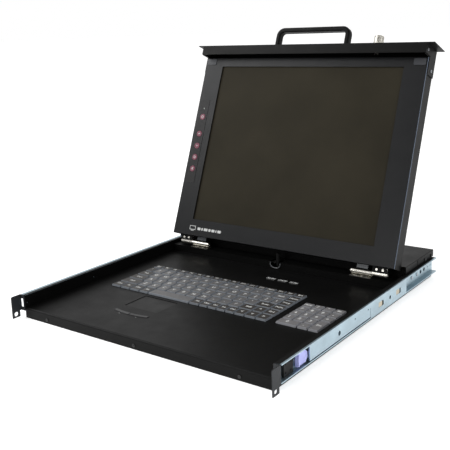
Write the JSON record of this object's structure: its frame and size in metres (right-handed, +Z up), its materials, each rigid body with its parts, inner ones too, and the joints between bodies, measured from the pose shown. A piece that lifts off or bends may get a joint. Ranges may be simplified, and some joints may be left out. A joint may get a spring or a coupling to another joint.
{
  "type": "kvm console drawer",
  "caption": "Rack console drawer with flip-up flat display, notebook keyboard with numeric pad, touchpad, front handle, side slides and a rear switch box.",
  "frame": {"origin": "middle of the flat underside of the tray", "axes": "+X to the right seen from the front, +Y to the rear connectors, +Z up, display lid open"},
  "size_m": [0.436, 0.478, 0.3857],
  "materials": {
    "black_steel": "fine textured black powder coat",
    "bezel_black": "satin black powder coat",
    "zinc": "bluish zinc plate",
    "bright_nickel": "bright nickel plate",
    "black_screws": "black oxide",
    "rivet_steel": "plain steel",
    "board_green": "solder mask",
    "port_metal": "nickel shell",
    "black_plastic": "matt moulded",
    "rocker_plastic": "gloss moulded",
    "supply_metal": "plain sheet",
    "key_grey": "matt moulded",
    "pad_black": "fine matt film",
    "light_lens": "diffusing lens",
    "lamp_lens": "diffusing lens",
    "latch_beige": "matt moulded",
    "release_lilac": "translucent moulded",
    "cable_rubber": "smooth jacket",
    "lcd_matte": "anti-glare film",
    "module_metal": "display module",
    "osd_film": "satin overlay film",
    "osd_magenta": "satin keys",
    "bumper_rubber": "soft pad"
  },
  "bodies": {
    "chassis": {"base_pan": "black_steel", "case_screws": "black_screws", "display_cable": "cable_rubber", "front_bracket_left": "black_steel", "front_bracket_right": "black_steel", "guide_blocks": "black_plastic", "hinge_leaves": "bright_nickel", "hinge_screws": "bright_nickel", "hinge_shafts": "bright_nickel", "keyboard_board": "black_plastic", "keyboard_deck": "black_steel", "kvm_board": "board_green", "kvm_ports": "port_metal", "latch_members": "zinc", "latch_pads": "latch_beige", "lock_lights": "light_lens", "numpad_board": "black_plastic", "port_nuts": "bright_nickel", "power_inlet": "black_plastic", "power_supply": "supply_metal", "rear_cover": "black_steel", "rear_panel": "black_steel", "slide_left": "zinc", "slide_right": "zinc", "slide_rivets": "rivet_steel", "touchpad": "pad_black"},
    "display_lid": {"lid_cover": "black_steel", "lid_bezel": "bezel_black", "lcd_screen": "lcd_matte", "lcd_module": "module_metal", "lid_boards": "board_green", "osd_strip": "osd_film", "osd_lamp": "lamp_lens", "lid_panel": "black_steel", "handle": "black_steel", "lid_bumpers": "bumper_rubber", "lid_screws": "black_screws", "hinge_straps": "bright_nickel"},
    "lock_knob": {"lock_knob": "bright_nickel"},
    "osd_button_1": {"osd_button_1": "osd_magenta"},
    "osd_button_2": {"osd_button_2": "osd_magenta"},
    "osd_button_3": {"osd_button_3": "osd_magenta"},
    "osd_button_4": {"osd_button_4": "osd_magenta"},
    "osd_button_5": {"osd_button_5": "osd_magenta"},
    "key_row_space": {"key_row_space": "key_grey"},
    "key_row_shift": {"key_row_shift": "key_grey"},
    "key_row_home": {"key_row_home": "key_grey"},
    "key_row_upper": {"key_row_upper": "key_grey"},
    "key_row_number": {"key_row_number": "key_grey"},
    "key_row_function": {"key_row_function": "key_grey"},
    "numpad_row_1": {"numpad_row_1": "key_grey"},
    "numpad_row_2": {"numpad_row_2": "key_grey"},
    "numpad_row_3": {"numpad_row_3": "key_grey"},
    "numpad_row_4": {"numpad_row_4": "key_grey"},
    "numpad_row_5": {"numpad_row_5": "key_grey"},
    "touch_button_left": {"touch_button_left": "pad_black"},
    "touch_button_right": {"touch_button_right": "pad_black"},
    "release_tab_right": {"release_tab_right": "release_lilac"},
    "release_tab_left": {"release_tab_left": "release_lilac"},
    "power_rocker": {"power_rocker": "rocker_plastic"}
  },
  "joints": [
    {"name": "lid_hinge", "type": "hinge", "parent": "chassis", "child": "display_lid", "pos_m": [0, 0.1018, 0.0322], "axis": [1, 0, 0], "range_deg": [-6, 111.9]},
    {"name": "lock_knob_turn", "type": "hinge", "parent": "display_lid", "child": "lock_knob", "pos_m": [0.1186, 0.22306, 0.35529], "axis": [0, 0.373, 0.9278], "continuous": true},
    {"name": "osd_button_1_press", "type": "slide", "parent": "display_lid", "child": "osd_button_1", "axis": [0, 0.9278, -0.373], "range_m": [0, 0.0008], "stiffness_N_per_m": 600, "springref_m": -0.001},
    {"name": "osd_button_2_press", "type": "slide", "parent": "display_lid", "child": "osd_button_2", "axis": [0, 0.9278, -0.373], "range_m": [0, 0.0008], "stiffness_N_per_m": 600, "springref_m": -0.001},
    {"name": "osd_button_3_press", "type": "slide", "parent": "display_lid", "child": "osd_button_3", "axis": [0, 0.9278, -0.373], "range_m": [0, 0.0008], "stiffness_N_per_m": 600, "springref_m": -0.001},
    {"name": "osd_button_4_press", "type": "slide", "parent": "display_lid", "child": "osd_button_4", "axis": [0, 0.9278, -0.373], "range_m": [0, 0.0008], "stiffness_N_per_m": 600, "springref_m": -0.001},
    {"name": "osd_button_5_press", "type": "slide", "parent": "display_lid", "child": "osd_button_5", "axis": [0, 0.9278, -0.373], "range_m": [0, 0.0008], "stiffness_N_per_m": 600, "springref_m": -0.001},
    {"name": "key_row_space_press", "type": "slide", "parent": "chassis", "child": "key_row_space", "axis": [0, 0, -1], "range_m": [0, 0.0018], "stiffness_N_per_m": 600, "springref_m": -0.001},
    {"name": "key_row_shift_press", "type": "slide", "parent": "chassis", "child": "key_row_shift", "axis": [0, 0, -1], "range_m": [0, 0.0018], "stiffness_N_per_m": 600, "springref_m": -0.001},
    {"name": "key_row_home_press", "type": "slide", "parent": "chassis", "child": "key_row_home", "axis": [0, 0, -1], "range_m": [0, 0.0018], "stiffness_N_per_m": 600, "springref_m": -0.001},
    {"name": "key_row_upper_press", "type": "slide", "parent": "chassis", "child": "key_row_upper", "axis": [0, 0, -1], "range_m": [0, 0.0018], "stiffness_N_per_m": 600, "springref_m": -0.001},
    {"name": "key_row_number_press", "type": "slide", "parent": "chassis", "child": "key_row_number", "axis": [0, 0, -1], "range_m": [0, 0.0018], "stiffness_N_per_m": 600, "springref_m": -0.001},
    {"name": "key_row_function_press", "type": "slide", "parent": "chassis", "child": "key_row_function", "axis": [0, 0, -1], "range_m": [0, 0.0018], "stiffness_N_per_m": 600, "springref_m": -0.001},
    {"name": "numpad_row_1_press", "type": "slide", "parent": "chassis", "child": "numpad_row_1", "axis": [0, 0, -1], "range_m": [0, 0.0018], "stiffness_N_per_m": 600, "springref_m": -0.001},
    {"name": "numpad_row_2_press", "type": "slide", "parent": "chassis", "child": "numpad_row_2", "axis": [0, 0, -1], "range_m": [0, 0.0018], "stiffness_N_per_m": 600, "springref_m": -0.001},
    {"name": "numpad_row_3_press", "type": "slide", "parent": "chassis", "child": "numpad_row_3", "axis": [0, 0, -1], "range_m": [0, 0.0018], "stiffness_N_per_m": 600, "springref_m": -0.001},
    {"name": "numpad_row_4_press", "type": "slide", "parent": "chassis", "child": "numpad_row_4", "axis": [0, 0, -1], "range_m": [0, 0.0018], "stiffness_N_per_m": 600, "springref_m": -0.001},
    {"name": "numpad_row_5_press", "type": "slide", "parent": "chassis", "child": "numpad_row_5", "axis": [0, 0, -1], "range_m": [0, 0.0018], "stiffness_N_per_m": 600, "springref_m": -0.001},
    {"name": "touch_button_left_press", "type": "slide", "parent": "chassis", "child": "touch_button_left", "axis": [0, 0, -1], "range_m": [0, 0.0006], "stiffness_N_per_m": 600, "springref_m": -0.001},
    {"name": "touch_button_right_press", "type": "slide", "parent": "chassis", "child": "touch_button_right", "axis": [0, 0, -1], "range_m": [0, 0.0006], "stiffness_N_per_m": 600, "springref_m": -0.001},
    {"name": "release_tab_right_pull", "type": "slide", "parent": "chassis", "child": "release_tab_right", "axis": [0, -1, 0], "range_m": [0, 0.006], "stiffness_N_per_m": 250, "springref_m": -0.002},
    {"name": "release_tab_left_pull", "type": "slide", "parent": "chassis", "child": "release_tab_left", "axis": [0, -1, 0], "range_m": [0, 0.006], "stiffness_N_per_m": 250, "springref_m": -0.002},
    {"name": "power_rocker_tilt", "type": "hinge", "parent": "chassis", "child": "power_rocker", "pos_m": [0.181, 0.22, 0.022], "axis": [1, 0, 0], "range_deg": [-16, 0]}
  ]
}
